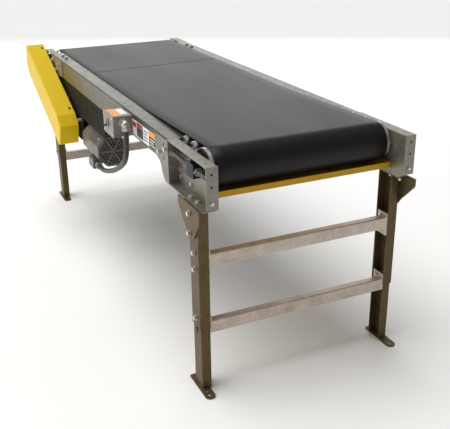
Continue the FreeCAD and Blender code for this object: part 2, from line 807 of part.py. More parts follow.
def return_guard_pan():
    """Shallow pan under the belt at the tail end, with a turned-up front lip."""
    low = BED_TOP - 133
    high = BED_TOP - 113
    half = WEB - SHEET - 0.4
    x0 = TAIL_END - 470
    x1 = TAIL_END - 76
    outside = box((x0, x1), (-half, half), (low, high))
    inside = box((x0 - 1, x1 - 2), (-half + 2, half - 2), (low + 2, high + 1))
    pan = outside.cut(inside)
    for x, z in web_bolts("tail"):
        pan = pan.cut(rod("Y", 4.1, -half - 1, 2 * half + 2, (x, z)))
    return tidy(pan)


# ---- chain drive --------------------------------------------------------------------------
def guard_point(u, v):
    """(x, z) of a point of the guard: u down its length from the drive shaft, v across it."""
    x = DRIVE_SHAFT_X + u * math.cos(GUARD_ANGLE) + v * math.sin(GUARD_ANGLE)
    z = SHAFT_Z - u * math.sin(GUARD_ANGLE) + v * math.cos(GUARD_ANGLE)
    return x, z


def guard_outline(inset, radius):
    """Long box with its near top corner and far bottom corner cut off."""
    far = GUARD_FAR + inset
    near = GUARD_NEAR - inset
    above = GUARD_ABOVE - inset
    below = GUARD_BELOW + inset
    corners = [
        (far, above, radius),
        (near - 64, above, radius),
        (near, above - 25, radius),
        (near, below + 18, radius),
        (near - 22, below, radius),
        (far + 58, below, radius),
        (far, below + 32, radius),
    ]
    return [guard_point(u, v) + (r,) for u, v, r in corners]


def guard_shell():
    """Sheet-metal chain guard, open towards the bed."""
    rim = -GUARD_BACK - 2
    body = prism(guard_outline(0, 6), "XZ", -GUARD_OUT, rim)
    face = [e for e in body.Edges if abs(e.BoundBox.YMax + GUARD_OUT) < 0.01]
    body = body.makeFillet(5, face)
    hollow = prism(guard_outline(GUARD_T, 4.4), "XZ", -GUARD_OUT + GUARD_T, rim + 1)
    body = body.cut(hollow)
    for u in (-48, 520):
        x, z = guard_point(u, GUARD_ABOVE - 4)
        body = body.cut(box((x - 9, x + 9), (rim - 18, rim - 9), (z - 14, z + 14)))
    return tidy(body)


def guard_back_plate():
    """Flat back of the guard, with openings for both shafts."""
    body = prism(guard_outline(0, 6), "XZ", -GUARD_BACK - 2, -GUARD_BACK)
    for x, z in ((DRIVE_SHAFT_X, SHAFT_Z), (OUTPUT_X, OUTPUT_Z)):
        body = body.cut(rod("Y", 32, -GUARD_BACK - 5, 10, (x, z)))
    for x, z in guard_studs():
        body = body.cut(rod("Y", 4.2, -GUARD_BACK - 5, 10, (x, z)))
    return tidy(body)


def guard_studs():
    """(x, z) of the spacer studs that carry the guard: two on the bracket, two on the mount."""
    return [(-965.0, 722.0), (-880.0, 700.0), (-720.0, 650.0), (-480.0, 600.0)]


def guard_screws():
    """Spacer studs behind the guard's back plate."""
    solids = []
    for i, (x, z) in enumerate(guard_studs()):
        seat = -HALF_WIDTH if i < 2 else -BED_HALF + SHEET
        start = -GUARD_BACK
        spacer = rod("Y", 8, start, seat - start, (x, z))
        head = hexagon("Y", 13, start - 2 - 5, 5, (x, z))
        neck = rod("Y", 4.2, start - 2.5, 3, (x, z))
        solids.append(spacer.fuse([neck, head]).removeSplitter())
    return Part.makeCompound(solids)


def sprocket(x, z):
    """Toothed wheel with a hub towards the bearing."""
    pitch_r = CHAIN_PITCH / 2 / math.sin(math.pi / TEETH)
    seat = 4.1
    start = math.atan2(SHAFT_Z - OUTPUT_Z, OUTPUT_X - DRIVE_SHAFT_X)
    disc = rod("Y", pitch_r + 3.6, CHAIN_Y - SPROCKET_T / 2, SPROCKET_T, (x, z))
    gaps = []
    for k in range(TEETH):
        turn = math.pi / 2 - start + 2 * math.pi * (k + 0.5) / TEETH
        spot = (x + pitch_r * math.cos(turn), z + pitch_r * math.sin(turn))
        gaps.append(rod("Y", seat, CHAIN_Y - SPROCKET_T, 2 * SPROCKET_T, spot))
    wheel = disc.cut(gaps)
    hub = rod("Y", 26, CHAIN_Y, 28, (x, z))
    body = wheel.fuse(hub)
    return tidy(body.cut(rod("Y", SHAFT_R, CHAIN_Y - 20, 70, (x, z))))


def roller_chain():
    """The two rows of side plates of the closed chain, one each side of the sprockets."""
    pitch_r = CHAIN_PITCH / 2 / math.sin(math.pi / TEETH)
    slope = math.atan2(SHAFT_Z - OUTPUT_Z, OUTPUT_X - DRIVE_SHAFT_X)
    rows = []
    for y in (CHAIN_Y - SPROCKET_T / 2 - 2.4, CHAIN_Y + SPROCKET_T / 2 + 0.5):
        loops = []
        for radius in (pitch_r + 5.6, pitch_r - 5.6):
            ends = [
                rod("Y", radius, y, 1.9, (DRIVE_SHAFT_X, SHAFT_Z)),
                rod("Y", radius, y, 1.9, (OUTPUT_X, OUTPUT_Z)),
            ]
            bar = box((0, CENTRES), (y, y + 1.9), (-radius, radius))
            bar.rotate(FreeCAD.Vector(0, 0, 0), FreeCAD.Vector(0, 1, 0), math.degrees(slope))
            bar.translate(FreeCAD.Vector(DRIVE_SHAFT_X, 0, SHAFT_Z))
            loops.append(bar.fuse(ends).removeSplitter())
        rows.append(loops[0].cut(loops[1]))
    return Part.makeCompound(rows)


def drive_mount():
    """Side plate that hangs from the bed, carries the gear reducer and reaches over the motor."""
    points = [
        (-62, BED_TOP - 8, 4),
        (-62, 616, 12),
        (-448, 616),
        (-448, 560, 20),
        (-490, 495, 30),
        (-650, 495, 30),
        (-690, 600, 40),
        (-940, 714, 12),
        (-940, BED_TOP - 8, 4),
    ]
    y0 = -BED_HALF + SHEET
    body = prism(points, "XZ", y0, y0 + PLATE - 0.4)
    body = body.cut(rod("Y", 30, y0 - 1, PLATE + 2, (OUTPUT_X, OUTPUT_Z)))
    for x, z in tongue_bolts("drive"):
        body = body.cut(rod("Y", 5.1, y0 - 1, PLATE + 2, (x, z)))
    for x in TIES_X[1:]:
        tie = box((x - 33, x + 33), (y0 - 1, y0 + PLATE + 1), (BED_TOP - 45, BED_TOP))
        body = body.cut(tie)
    return tidy(body)


def reducer_housing():
    """Worm gear case: a rounded box with a round gear boss, an input flange and a breather."""
    y0 = MOTOR_Y - HOUSING_HALF + 0.4
    y1 = MOTOR_Y + HOUSING_HALF
    case = prism(
        [
            (OUTPUT_X + 66, MOTOR_Z - 42, 14),
            (OUTPUT_X + 66, OUTPUT_Z + 58, 26),
            (OUTPUT_X - 62, OUTPUT_Z + 58, 26),
            (OUTPUT_X - 62, MOTOR_Z - 42, 14),
        ],
        "XZ",
        y0,
        y1,
    )
    neck_end = MOTOR_FACE - COVER_LENGTH - MOTOR_LENGTH - 20
    neck = rod("X", 36, OUTPUT_X + 60, neck_end - OUTPUT_X - 60, (MOTOR_Y, MOTOR_Z))
    flange = rod("X", 62, neck_end - 12, 12, (MOTOR_Y, MOTOR_Z))
    boss = rod("Y", 46, y1, 8, (OUTPUT_X, OUTPUT_Z))
    cap = rod("Z", 7, OUTPUT_Z + 58, 10, (OUTPUT_X + 30, MOTOR_Y))
    ribs = []
    for k in range(5):
        z = MOTOR_Z - 10 + 20 * k
        ribs.append(box((OUTPUT_X - 58, OUTPUT_X + 62), (y1, y1 + 4), (z - 2, z + 2)))
    body = case.fuse([neck, flange, boss, cap] + ribs)
    wheel_room = rod("Y", 36, MOTOR_Y - 26, 52, (OUTPUT_X, OUTPUT_Z))
    worm_room = rod("X", 19, OUTPUT_X - 46, 96, (MOTOR_Y, MOTOR_Z))
    through = rod("Y", SHAFT_R + SHAFT_CLEAR, y0 - 1, HOUSING_HALF + 1, (OUTPUT_X, OUTPUT_Z))
    inner = rod("Y", SHAFT_R + SHAFT_CLEAR, MOTOR_Y, 40, (OUTPUT_X, OUTPUT_Z))
    input_bore = rod("X", MOTOR_SHAFT_R + SHAFT_CLEAR, OUTPUT_X, neck_end - OUTPUT_X + 1, (MOTOR_Y, MOTOR_Z))
    return tidy(body.cut([wheel_room, worm_room, through, inner, input_bore]))


def output_shaft():
    start = CHAIN_Y - 22
    return rod("Y", SHAFT_R, start, MOTOR_Y + 39 - start, (OUTPUT_X, OUTPUT_Z))


def worm_wheel():
    """Bronze wheel on the output shaft, drawn at its pitch cylinder."""
    radius = WORM_DROP - WORM_R - 0.5
    return ring("Y", radius, SHAFT_R, MOTOR_Y - 12, 24, (OUTPUT_X, OUTPUT_Z))


def octagon(flats, radius):
    """Octagon about the motor's axis, as (y, z, corner radius) points."""
    reach = flats / 2 / math.cos(math.pi / 8)
    turn = [math.pi / 8 + k * math.pi / 4 for k in range(8)]
    return [(MOTOR_Y + reach * math.cos(t), MOTOR_Z + reach * math.sin(t), radius) for t in turn]


def motor_frame():
    """Eight-sided motor shell with its stator, end bells and drive-end spigot."""
    x1 = MOTOR_FACE - COVER_LENGTH
    x0 = x1 - MOTOR_LENGTH
    body = prism(octagon(MOTOR_FLATS, 14), "YZ", x0, x1)
    spigot = rod("X", 60, x0 - 20, 20, (MOTOR_Y, MOTOR_Z))
    seam_one = ring("X", 90, MOTOR_FLATS / 2 - 3, x0 + 22, 4, (MOTOR_Y, MOTOR_Z))
    seam_two = ring("X", 90, MOTOR_FLATS / 2 - 3, x1 - 20, 4, (MOTOR_Y, MOTOR_Z))
    body = body.fuse(spigot).cut([seam_one, seam_two])
    stator = rod("X", ROTOR_R + 0.6, x0 + 26, MOTOR_LENGTH - 52, (MOTOR_Y, MOTOR_Z))
    bore = rod("X", MOTOR_SHAFT_R + SHAFT_CLEAR, x0 - 21, MOTOR_LENGTH + 22, (MOTOR_Y, MOTOR_Z))
    return tidy(body.cut([stator, bore]))


def cover_holes():
    """(y, z) of the air holes: six triangular groups of ten, with plain spokes between them."""
    spots = []
    for group in range(6):
        turn = math.pi / 6 + group * math.pi / 3
        for row in range(4):
            reach = 19 + AIR_HOLE_PITCH * 0.87 * row
            for k in range(row + 1):
                across = (k - row / 2) * AIR_HOLE_PITCH
                y = MOTOR_Y + reach * math.cos(turn) - across * math.sin(turn)
                z = MOTOR_Z + reach * math.sin(turn) + across * math.cos(turn)
                spots.append((y, z))
    return spots


def motor_fan_cover():
    """Pressed cover over the cooling fan, with its grille of holes."""
    x1 = MOTOR_FACE
    x0 = x1 - COVER_LENGTH
    body = prism(octagon(MOTOR_FLATS - 1, 16), "YZ", x0, x1)
    front = [e for e in body.Edges if abs(e.BoundBox.XMin - x1) < 0.01]
    body = body.makeFillet(7, front)
    hollow = rod("X", MOTOR_FLATS / 2 - 3, x0 - 1, COVER_LENGTH - 1.5, (MOTOR_Y, MOTOR_Z))
    holes = [rod("X", AIR_HOLE_R, x1 - 5, 10, spot) for spot in cover_holes()]
    return tidy(body.cut([hollow] + holes))


def motor_rotor():
    """Motor shaft with its core, running on into the reducer as the worm."""
    x1 = MOTOR_FACE - 14
    x0 = OUTPUT_X - 44
    shaft = rod("X", MOTOR_SHAFT_R, x0, x1 - x0, (MOTOR_Y, MOTOR_Z))
    start = MOTOR_FACE - COVER_LENGTH - MOTOR_LENGTH + 34
    core = rod("X", ROTOR_R, start, MOTOR_LENGTH - 68, (MOTOR_Y, MOTOR_Z))
    worm = rod("X", WORM_R, OUTPUT_X - 30, 60, (MOTOR_Y, MOTOR_Z))
    return tidy(shaft.fuse([core, worm]))


def motor_fan():
    """Cooling fan with eight radial blades."""
    start = MOTOR_FACE - 46
    hub = rod("X", 20, start, 26, (MOTOR_Y, MOTOR_Z))
    back = rod("X", 56, start, 2.5, (MOTOR_Y, MOTOR_Z))
    blades = []
    for k in range(8):
        blade = box((start, start + 24), (MOTOR_Y + 15, MOTOR_Y + 58), (MOTOR_Z - 1.2, MOTOR_Z + 1.2))
        centre = FreeCAD.Vector(0, MOTOR_Y, MOTOR_Z)
        blade.rotate(centre, FreeCAD.Vector(1, 0, 0), 45 * k)
        blades.append(blade)
    body = hub.fuse([back] + blades)
    return tidy(body.cut(rod("X", MOTOR_SHAFT_R, start - 1, 40, (MOTOR_Y, MOTOR_Z))))


# ---- switch and conduit -------------------------------------------------------------------
def switch_box():
    """Manual starter enclosure on the side of the bed, with a bezel for its toggle."""
    body = box(BOX_X, BOX_Y, BOX_Z)
    upright = [e for e in body.Edges if abs(e.BoundBox.YLength - (BOX_Y[1] - BOX_Y[0])) < 0.01]
    body = body.makeFillet(4, upright)
    lid = box((BOX_X[0] - 2, BOX_X[1] + 2), (BOX_Y[0] - 3, BOX_Y[0]), (BOX_Z[0] - 2, BOX_Z[1] + 2))
    lid_sides = [e for e in lid.Edges if abs(e.BoundBox.YLength - 3) < 0.01]
    lid = lid.makeFillet(5, lid_sides)
    centre = toggle_centre()
    bezel = rod("Y", 17, BOX_Y[0] - 8, 5, (centre[0], centre[2]))
    body = body.fuse([lid, bezel])
    hollow = box((BOX_X[0] + 3, BOX_X[1] - 3), (BOX_Y[0] + 3, BOX_Y[1] - 3), (BOX_Z[0] + 3, BOX_Z[1] - 3))
    window = box(
        (centre[0] - 5.5, centre[0] + 5.5), (BOX_Y[0] - 9, BOX_Y[0] + 4), (centre[2] - 13, centre[2] + 13)
    )
    return tidy(body.cut([hollow, window]))


def toggle_centre():
    """Pivot of the switch toggle."""
    return ((BOX_X[0] + BOX_X[1]) / 2 - 6, BOX_Y[0] + 4, (BOX_Z[0] + BOX_Z[1]) / 2 + 2)


def switch_toggle():
    """Rocking lever on a small barrel, tilted down in the off position."""
    x, y, z = toggle_centre()
    barrel = rod("X", 6, x - 4.5, 9, (y, z))
    lever = box((x - 4, x + 4), (y - 23, y), (z - 3, z + 3))
    outer = [e for e in lever.Edges if abs(e.BoundBox.YMax - (y - 23)) < 0.01]
    lever = lever.makeFillet(2, outer)
    body = barrel.fuse(lever)
    body.rotate(FreeCAD.Vector(x, y, z), FreeCAD.Vector(1, 0, 0), 20)
    return tidy(body)


def conduit_elbow():
    """Right-angle connector from the box's front face down to the conduit."""
    x, y, z = CONDUIT_TOP
    level = z + 22
    nut = hexagon("X", 34, BOX_X[1], 8, (y, level))
    across = rod("X", 14, BOX_X[1] + 8, x - BOX_X[1] - 8, (y, level))
    ball = Part.makeSphere(15, FreeCAD.Vector(x - 1, y, level))
    down = rod("Z", 12.5, z, level - z, (x, y))
    gland = hexagon("Z", 29, z, 12, (x, y))
    return tidy(nut.fuse([across, ball, down, gland]))


def motor_fitting():
    """Straight connector between the terminal box and the conduit."""
    x, y, z = CONDUIT_END
    gland = hexagon("X", 29, x - 14, 14, (y, z))
    barrel = rod("X", 12.5, x - 36, 22, (y, z))
    return tidy(gland.fuse(barrel))


def terminal_box():
    """Small cast terminal box seated on the motor's lower outer face."""
    x, y, z = CONDUIT_END
    body = box((x - 116, x - 36), (y - 20, y + 24), (z - 22, z + 26))
    body = body.makeFillet(5, body.Edges)
    return body.cut(prism(octagon(MOTOR_FLATS, 14), "YZ", x - 200, x))


def conduit_fittings():
    return Part.makeCompound([conduit_elbow(), motor_fitting()])


def conduit():
    """Flexible conduit: straight runs joined by tangent arcs."""
    route = [FreeCAD.Vector(*p) for p in CONDUIT_ROUTE]
    edges = []
    reached = route[0]
    radii = []
    for before, here, after in zip(route, route[1:], route[2:]):
        back = (before - here).normalize()
        on = (after - here).normalize()
        turn = math.pi - back.getAngle(on)
        short = min(before.distanceToPoint(here), after.distanceToPoint(here))
        radius = 0.45 * short / math.tan(turn / 2)
        radii.append(round(radius))
        start = here + back * (0.45 * short)
        end = here + on * (0.45 * short)
        lift = radius / math.cos(turn / 2) - radius
        middle = here + (back + on).normalize() * lift
        edges.append(Part.LineSegment(reached, start).toShape())
        edges.append(Part.Arc(start, middle, end).toShape())
        reached = end
    edges.append(Part.LineSegment(reached, route[-1]).toShape())
    path = Part.Wire(edges)
    first = (route[1] - route[0]).normalize()
    disc = Part.Wire(Part.makeCircle(CONDUIT_R, route[0], first))
    tube = path.makePipeShell([disc], True, True)
    print("conduit length", round(path.Length), "radii", radii)
    print("conduit volume", round(tube.Volume), "against", round(math.pi * CONDUIT_R ** 2 * path.Length))
    return tube


# ---- all pieces ---------------------------------------------------------------------------
def pieces():
    """Every node by name."""
    found = {
        "slider_bed": slider_bed(),
        "bed_ties": bed_ties(),
        "stand_bolts": stand_bolts(),
        "bracket_bolts": bracket_bolts(),
        "belt": belt(),
        "tail_pulley": pulley(TAIL_SHAFT_X, TAIL_SHAFT_Z, TAIL_PULLEY_R),
        "tail_shaft": tail_shaft(),
        "take_up_rods": take_up_rods(),
        "take_up_nuts": take_up_nuts(),
        "drive_pulley": pulley(DRIVE_SHAFT_X, SHAFT_Z, PULLEY_R),
        "drive_shaft": drive_shaft(),
        "snub_roller": conveyor_roller(SNUB_X, SNUB_Z),
        "return_roller": conveyor_roller(RETURN_X, return_roller_z()),
        "roller_axles": roller_axles(),
        "roller_hangers": roller_hangers(),
        "return_guard_pan": return_guard_pan(),
        "guard_shell": guard_shell(),
        "guard_back_plate": guard_back_plate(),
        "guard_screws": guard_screws(),
        "driven_sprocket": sprocket(DRIVE_SHAFT_X, SHAFT_Z),
        "drive_sprocket": sprocket(OUTPUT_X, OUTPUT_Z),
        "roller_chain": roller_chain(),
        "drive_mount": drive_mount(),
        "reducer_housing": reducer_housing(),
        "output_shaft": output_shaft(),
        "worm_wheel": worm_wheel(),
        "motor_frame": tidy(motor_frame().fuse(terminal_box())),
        "motor_fan_cover": motor_fan_cover(),
        "motor_rotor": motor_rotor(),
        "motor_fan": motor_fan(),
        "switch_box": switch_box(),
        "switch_toggle": switch_toggle(),
        "conduit_fittings": conduit_fittings(),
        "conduit": conduit(),
    }
    for place, x in TRANSITION_X.items():
        found["transition_roller_" + place] = conveyor_roller(x, transition_roller_z(x))
    for end in STANDS:
        for level in BRACE_Z:
            found["brace_%s_%s" % (end, level)] = brace(end, level)
        for side in SIDES:
            drawn = {
                "bracket": bracket(end, side),
                "leg": leg(end, side),
                "leg_head": leg_head(end, side),
                "foot": foot(end),
            }
            for name, shape in drawn.items():
                found["%s_%s_%s" % (name, end, side)] = on_side(shape, side)
    block = take_up_block()
    bearing = drive_bearing()
    for side in SIDES:
        found["take_up_block_" + side] = on_side(block, side)
        found["drive_bearing_" + side] = on_side(bearing, side)
    return found


os.makedirs("parts", exist_ok=True)
for node, shape in pieces().items():
    if not shape.isValid():
        print("not valid:", node)
    shape.exportStep("parts/%s.step" % node)
    print(node, len(shape.Solids), "solids", round(shape.Volume / 1000), "cm3")
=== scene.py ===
import json
import math

import bpy
from mathutils import Matrix, Vector


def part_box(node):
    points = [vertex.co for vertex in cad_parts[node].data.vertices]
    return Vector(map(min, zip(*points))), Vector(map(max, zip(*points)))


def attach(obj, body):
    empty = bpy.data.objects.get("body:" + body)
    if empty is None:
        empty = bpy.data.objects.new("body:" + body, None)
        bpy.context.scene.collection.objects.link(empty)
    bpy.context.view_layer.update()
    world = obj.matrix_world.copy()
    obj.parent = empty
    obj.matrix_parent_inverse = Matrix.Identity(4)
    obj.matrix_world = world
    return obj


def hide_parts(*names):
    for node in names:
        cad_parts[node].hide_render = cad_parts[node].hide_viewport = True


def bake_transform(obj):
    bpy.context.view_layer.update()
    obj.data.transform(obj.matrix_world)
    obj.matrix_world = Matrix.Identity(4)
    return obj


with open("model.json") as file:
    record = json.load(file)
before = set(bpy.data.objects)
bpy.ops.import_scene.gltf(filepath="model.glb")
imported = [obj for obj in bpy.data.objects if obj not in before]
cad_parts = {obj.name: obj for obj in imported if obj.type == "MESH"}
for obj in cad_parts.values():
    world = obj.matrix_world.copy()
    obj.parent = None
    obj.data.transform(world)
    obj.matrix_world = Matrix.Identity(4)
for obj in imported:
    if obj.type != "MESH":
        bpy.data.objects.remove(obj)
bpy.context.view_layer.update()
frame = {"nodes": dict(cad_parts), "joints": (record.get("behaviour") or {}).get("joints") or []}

# Belt conveyor section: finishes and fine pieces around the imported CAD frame. Metres throughout.
JOINTS = {j["name"]: j for j in frame["joints"]}


# ---- node graphs --------------------------------------------------------------------------
class Graph:
    """A material built one node at a time. A socket takes a number, a colour or a link."""

    def __init__(self, name):
        self.material = bpy.data.materials.new(name)
        self.material.use_nodes = True
        self.tree = self.material.node_tree
        self.tree.nodes.clear()
        self.place = self.add("ShaderNodeTexCoord").outputs["Object"]

    def add(self, kind, values=(), **settings):
        """Makes a node; values is a list of (socket name or number, number, colour or link)."""
        node = self.tree.nodes.new(kind)
        for key, value in settings.items():
            setattr(node, key, value)
        for socket, value in values:
            self.feed(node.inputs[socket], value)
        return node

    def feed(self, socket, value):
        if isinstance(value, bpy.types.NodeSocket):
            self.tree.links.new(value, socket)
        elif isinstance(value, (tuple, list)):
            room = len(socket.default_value)
            socket.default_value = (tuple(value) + (1.0,))[:room]
        else:
            socket.default_value = value

    def math(self, operation, a, b=0.0, c=0.0, clamp=False):
        values = [(0, a), (1, b), (2, c)]
        return self.add("ShaderNodeMath", values, operation=operation, use_clamp=clamp).outputs[0]

    def mix(self, share, a, b, blend="MIX"):
        values = [(0, share), (6, a), (7, b)]
        return self.add("ShaderNodeMix", values, data_type="RGBA", blend_type=blend).outputs[2]

    def range(self, value, low, high, to_low=0.0, to_high=1.0):
        values = [(0, value), (1, low), (2, high), (3, to_low), (4, to_high)]
        return self.add("ShaderNodeMapRange", values).outputs[0]

    def stretch(self, x, y, z, angle=(0.0, 0.0, 0.0)):
        values = [("Vector", self.place), ("Rotation", angle), ("Scale", (x, y, z))]
        return self.add("ShaderNodeMapping", values).outputs[0]

    def noise(self, scale, detail=3.0, rough=0.55, where=None):
        values = [("Vector", where or self.place), ("Scale", scale), ("Detail", detail), ("Roughness", rough)]
        return self.add("ShaderNodeTexNoise", values).outputs["Fac"]

    def cells(self, scale):
        return self.add("ShaderNodeTexVoronoi", [("Vector", self.place), ("Scale", scale)])

    def axis(self, name):
        return self.add("ShaderNodeSeparateXYZ", [(0, self.place)]).outputs[name]

    def bump(self, height, depth, strength=1.0, normal=None):
        """Bump with a real depth in metres."""
        values = [("Height", height), ("Distance", depth), ("Strength", strength)]
        if normal is not None:
            values.append(("Normal", normal))
        return self.add("ShaderNodeBump", values).outputs[0]

    def edges(self, radius):
        """1 along sharp outside and inside edges, 0 on flats."""
        round_normal = self.add("ShaderNodeBevel", [("Radius", radius)], samples=6).outputs[0]
        flat_normal = self.add("ShaderNodeNewGeometry").outputs["Normal"]
        values = [(0, round_normal), (1, flat_normal)]
        same = self.add("ShaderNodeVectorMath", values, operation="DOT_PRODUCT").outputs["Value"]
        return self.range(same, 0.99, 0.86)

    def finish(self, colour, rough, metal=0.0, normal=None, **more):
        shader = self.add("ShaderNodeBsdfPrincipled")
        pairs = {"Base Color": colour, "Roughness": rough, "Metallic": metal}
        pairs.update(more)
        for socket, value in pairs.items():
            self.feed(shader.inputs[socket], value)
        if normal is not None:
            self.feed(shader.inputs["Normal"], normal)
        self.add("ShaderNodeOutputMaterial", [("Surface", shader.outputs[0])])
        return self.material


# ---- materials ----------------------------------------------------------------------------
def galvanised(name, light, dark, stain, metal=0.62, rough=(0.32, 0.5), gloss=0.35):
    """Zinc-coated sheet: crystal spangle, fine grain, handling stains, and a painted highlight along the
    sharp edges.
    """
    g = Graph(name)
    warp = g.noise(14.0, 4.0)
    crystal = g.cells(95.0)
    grain = g.add("ShaderNodeSeparateColor", [(0, crystal.outputs["Color"])]).outputs[0]
    fine = g.noise(420.0, 2.0, where=g.stretch(0.15, 1.0, 1.0))
    tone = g.math("ADD", g.math("MULTIPLY", grain, 0.5), g.math("MULTIPLY", fine, 0.5))
    colour = g.mix(tone, dark, light)
    dirt = g.range(warp, 0.48, 0.72)
    colour = g.mix(g.math("MULTIPLY", dirt, 0.45), colour, stain)
    # Painted highlight: sharp edges lightened towards a brighter copy of the light colour.
    edge = g.edges(0.0022)
    painted_edge_highlight = g.math("MULTIPLY", edge, 0.55)
    colour = g.mix(painted_edge_highlight, colour, tuple(min(1.0, 1.25 * c) for c in light))
    roughness = g.range(g.math("ADD", grain, g.math("MULTIPLY", warp, 0.6)), 0.2, 1.4, rough[0], rough[1])
    normal = g.bump(grain, 0.00006, 0.5)
    normal = g.bump(g.noise(5.0, 2.0), 0.0012, 0.25, normal)
    return g.finish(colour, roughness, metal, normal, **{"Specular IOR Level": gloss})


def powder_coat(name, colour_a, colour_b, chip):
    """Powder coat: orange peel, slight dust, and chips along the edges down to bare steel."""
    g = Graph(name)
    broad = g.noise(7.0, 4.0)
    colour = g.mix(broad, colour_a, colour_b)
    worn = g.math("MULTIPLY", g.edges(0.0016), g.range(g.noise(130.0, 4.0), 0.52, 0.62), clamp=True)
    scuff = g.range(g.noise(60.0, 6.0, 0.7, g.stretch(1.0, 1.0, 5.0)), 0.66, 0.74)
    colour = g.mix(g.math("MULTIPLY", scuff, 0.18), colour, chip)
    colour = g.mix(worn, colour, chip)
    roughness = g.range(g.noise(25.0, 3.0), 0.3, 0.7, 0.3, 0.44)
    normal = g.bump(g.noise(900.0, 2.0), 0.00012, 0.5)
    return g.finish(colour, roughness, 0.0, normal, **{"Specular IOR Level": 0.16})


def belt_cover():
    """Woven-impression rubber cover, scuffed along the running direction, with dust in the weave."""
    g = Graph("belt_cover")
    wide = g.noise(3.5, 4.0, where=g.stretch(0.35, 1.0, 1.0))
    streak = g.noise(90.0, 5.0, 0.65, g.stretch(0.05, 1.0, 0.05))
    weave_x = g.math("SINE", g.math("MULTIPLY", g.axis("X"), 2 * math.pi / 0.0016))
    weave_y = g.math("SINE", g.math("MULTIPLY", g.axis("Y"), 2 * math.pi / 0.0016))
    weave = g.math("MULTIPLY", weave_x, weave_y)
    colour = g.mix(wide, (0.006, 0.005, 0.0055), (0.012, 0.0098, 0.0102))
    colour = g.mix(g.range(streak, 0.5, 0.78, 0.0, 0.12), colour, (0.036, 0.031, 0.029))
    speck = g.range(g.cells(260.0).outputs["Distance"], 0.07, 0.02, 0.0, 0.25)
    colour = g.mix(speck, colour, (0.07, 0.064, 0.06))
    roughness = g.range(g.math("ADD", wide, g.math("MULTIPLY", streak, 0.25)), 0.4, 0.9, 0.38, 0.46)
    normal = g.bump(weave, 0.00008, 0.5)
    normal = g.bump(g.noise(2.2, 2.0), 0.0015, 0.3, normal)
    return g.finish(colour, roughness, 0.0, normal, **{"IOR": 1.3})


def belt_edge():
    """Cut edge of the belt, where the fabric plies show."""
    g = Graph("belt_edge")
    ply = g.math("SINE", g.math("MULTIPLY", g.noise(700.0, 3.0, where=g.stretch(0.1, 1.0, 1.0)), 12.0))
    colour = g.mix(g.range(ply, -1.0, 1.0), (0.018, 0.017, 0.016), (0.07, 0.06, 0.05))
    return g.finish(colour, 0.8, 0.0, g.bump(ply, 0.0001, 0.5))


def turned_steel(name, colour, rough, ring_axis="Y"):
    """Bright steel with fine rings from the lathe and a light film of grime."""
    g = Graph(name)
    scale = {"X": (1.0, 0.02, 0.02), "Y": (0.02, 1.0, 0.02), "Z": (0.02, 0.02, 1.0)}[ring_axis]
    rings = g.noise(1500.0, 3.0, 0.6, g.stretch(*scale))
    grime = g.noise(38.0, 5.0, 0.6)
    tint = g.mix(g.range(grime, 0.5, 0.75), colour, tuple(0.45 * c for c in colour))
    roughness = g.range(rings, 0.3, 0.7, rough, rough + 0.14)
    return g.finish(tint, roughness, 1.0, g.bump(rings, 0.00003, 0.4))


def plated(name, colour, rough=0.3):
    """Zinc plating on fasteners: slightly cloudy, with a painted highlight along the edges."""
    g = Graph(name)
    cloud = g.noise(240.0, 4.0, 0.6)
    tint = g.mix(cloud, tuple(0.62 * c for c in colour), colour)
    # Painted highlight: edges mixed towards near-white.
    tint = g.mix(g.math("MULTIPLY", g.edges(0.0008), 0.6), tint, (0.92, 0.92, 0.9))
    return g.finish(tint, g.range(cloud, 0.3, 0.7, rough, rough + 0.16), 0.9, g.bump(cloud, 0.00005, 0.4))


def enamel(name, colour, rough, texture=700.0, depth=0.0002, wear=(0.28, 0.27, 0.26), dusty=0.14, gloss=0.5):
    """Sprayed enamel on a casting or a rolled shell, rubbed thin along the edges."""
    g = Graph(name)
    cast = g.noise(texture, 3.0, 0.6)
    broad = g.noise(16.0, 5.0, 0.6)
    tint = g.mix(g.range(broad, 0.35, 0.7), tuple(0.72 * c for c in colour), tuple(1.3 * c for c in colour))
    rub = g.math("MULTIPLY", g.edges(0.0022), g.range(g.noise(90.0, 4.0), 0.4, 0.62), clamp=True)
    tint = g.mix(g.math("MULTIPLY", rub, 0.7), tint, wear)
    dust = g.range(g.noise(50.0, 6.0, 0.7), 0.55, 0.75, 0.0, dusty)
    tint = g.mix(dust, tint, (0.22, 0.20, 0.17))
    roughness = g.range(broad, 0.3, 0.7, rough, rough + 0.15)
    return g.finish(tint, roughness, 0.15, g.bump(cast, depth, 0.6), **{"Specular IOR Level": gloss})


def moulded(name, colour):
    """Moulded plastic with a fine spark-eroded grain."""
    g = Graph(name)
    grain = g.noise(1200.0, 2.0)
    soft = g.noise(30.0, 4.0)
    tint = g.mix(soft, tuple(0.8 * c for c in colour), tuple(1.2 * c for c in colour))
    return g.finish(tint, g.range(grain, 0.3, 0.7, 0.5, 0.62), 0.0, g.bump(grain, 0.00008, 0.5))


def jacket():
    """Conduit jacket: satin vinyl, scuffed in patches."""
    g = Graph("conduit_jacket")
    scuff = g.noise(160.0, 5.0, 0.65)
    tint = g.mix(g.range(scuff, 0.4, 0.75), (0.022, 0.019, 0.018), (0.055, 0.048, 0.044))
    return g.finish(tint, g.range(scuff, 0.3, 0.7, 0.36, 0.52), 0.0, g.bump(scuff, 0.0001, 0.4))


def bronze():
    g = Graph("cast_bronze")
    cast = g.noise(500.0, 3.0)
    tint = g.mix(cast, (0.42, 0.24, 0.09), (0.72, 0.46, 0.2))
    return g.finish(tint, g.range(cast, 0.3, 0.7, 0.3, 0.45), 1.0, g.bump(cast, 0.0001, 0.4))


